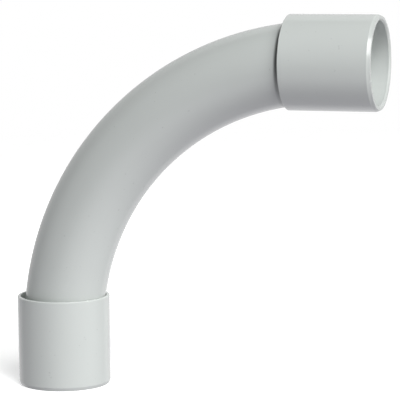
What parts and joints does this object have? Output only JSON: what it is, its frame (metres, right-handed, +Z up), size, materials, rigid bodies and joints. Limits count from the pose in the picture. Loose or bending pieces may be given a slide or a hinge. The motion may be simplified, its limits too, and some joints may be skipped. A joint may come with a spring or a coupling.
{
  "type": "pvc conduit elbow",
  "caption": "Rigid conduit bend: a smooth grey tube turned through a right angle, with a short push-fit coupler on each end to take the next lengths of conduit.",
  "frame": {"origin": "centre of the lower coupler's free mouth", "axes": "+Z up the lower leg, into the socket; +X along the upper leg, out of its free mouth; the bend lies in the XZ plane"},
  "size_m": [0.1163, 0.0288, 0.1163],
  "materials": {
    "tube_pvc": "satin, drawn lengthwise",
    "coupler_pvc": "satin, moulded"
  },
  "bodies": {
    "bent_tube": {"bent_tube": "tube_pvc"},
    "lower_coupler": {"lower_coupler": "coupler_pvc"},
    "upper_coupler": {"upper_coupler": "coupler_pvc"}
  },
  "joints": [
    {"name": "lower_coupler_slide", "type": "slide", "parent": "bent_tube", "child": "lower_coupler", "axis": [0, 0, -1], "range_m": [0, 0.015]},
    {"name": "upper_coupler_slide", "type": "slide", "parent": "bent_tube", "child": "upper_coupler", "axis": [1, 0, 0], "range_m": [0, 0.015]}
  ]
}
